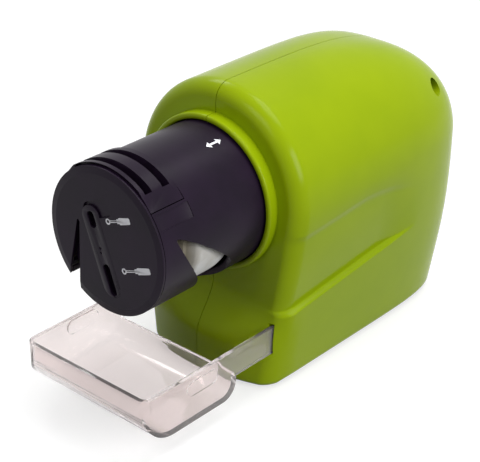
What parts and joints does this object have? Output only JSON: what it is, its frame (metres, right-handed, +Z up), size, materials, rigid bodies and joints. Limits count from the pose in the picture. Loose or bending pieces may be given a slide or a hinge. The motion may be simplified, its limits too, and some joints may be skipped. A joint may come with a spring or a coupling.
{
  "type": "electric knife sharpener",
  "caption": "Cordless battery-driven knife, scissors and screwdriver sharpener: round-topped housing, turning barrel head with guide slots, sliding clear chip tray.",
  "frame": {"origin": "middle of the footprint, on the table under the feet", "axes": "+Z up, +Y from the sharpening head towards the rear, +X to the right seen from the head"},
  "size_m": [0.0818, 0.1894, 0.1156],
  "materials": {
    "green_plastic": "glossy moulded",
    "black_plastic": "satin moulded",
    "clear_plastic": "clear polished",
    "grey_plastic": "plain moulded",
    "stone": "fine abrasive ceramic",
    "steel": "plain",
    "brass": "turned",
    "rubber": "matt",
    "cell_sleeve": "printed sleeve, no marking",
    "red_lead": "flexible insulation",
    "black_lead": "flexible insulation"
  },
  "bodies": {
    "housing": {"right_shell": "green_plastic", "left_shell": "green_plastic", "motor_bracket": "grey_plastic", "motor_body": "steel", "motor_end_cap": "grey_plastic", "motor_screw_left": "steel", "motor_screw_right": "steel", "battery_box": "black_plastic", "battery_cell_1": "cell_sleeve", "battery_cell_2": "cell_sleeve", "battery_cell_3": "cell_sleeve", "battery_cell_4": "cell_sleeve", "contact_left_front": "steel", "contact_left_rear": "steel", "contact_right_front": "steel", "contact_right_middle": "steel", "contact_right_rear": "steel", "base_screw_front_left": "steel", "base_screw_front_right": "steel", "base_screw_rear_left": "steel", "base_screw_rear_right": "steel", "shell_screw_rear": "steel", "foot_front_left": "rubber", "foot_front_right": "rubber", "foot_rear_left": "rubber", "foot_rear_right": "rubber", "switch_body": "black_plastic", "lead_battery_to_switch": "red_lead", "lead_switch_to_motor": "red_lead", "lead_battery_to_motor": "black_lead"},
    "carrier": {"index_carrier": "grey_plastic"},
    "head": {"head_sleeve": "black_plastic", "front_disc": "black_plastic", "knife_guide": "black_plastic", "screwdriver_guide": "black_plastic", "chip_baffle": "black_plastic", "retaining_ring": "steel"},
    "wheel": {"grinding_wheel": "stone", "wheel_hub": "brass", "wheel_nut": "steel", "motor_shaft": "steel"},
    "tray": {"chip_tray": "clear_plastic"},
    "rocker": {"switch_rocker": "black_plastic"},
    "door": {"battery_door": "green_plastic"}
  },
  "joints": [
    {"name": "head_pull", "type": "slide", "parent": "housing", "child": "carrier", "axis": [0, -1, 0], "range_m": [0, 0.008]},
    {"name": "head_turn", "type": "hinge", "parent": "carrier", "child": "head", "pos_m": [0, -0.0287, 0.0742], "axis": [0, 1, 0], "range_deg": [0, 140]},
    {"name": "wheel_spin", "type": "hinge", "parent": "housing", "child": "wheel", "pos_m": [0, -0.0287, 0.0742], "axis": [0, 1, 0], "continuous": true},
    {"name": "tray_slide", "type": "slide", "parent": "housing", "child": "tray", "axis": [0, 1, 0], "range_m": [0, 0.011]},
    {"name": "switch_tilt", "type": "hinge", "parent": "housing", "child": "rocker", "pos_m": [0, 0.0886, 0.0602], "axis": [1, 0, 0], "range_deg": [0, 14]},
    {"name": "door_swing", "type": "hinge", "parent": "housing", "child": "door", "pos_m": [0, 0.0639, 0.001], "axis": [1, 0, 0], "range_deg": [0, 75]}
  ]
}
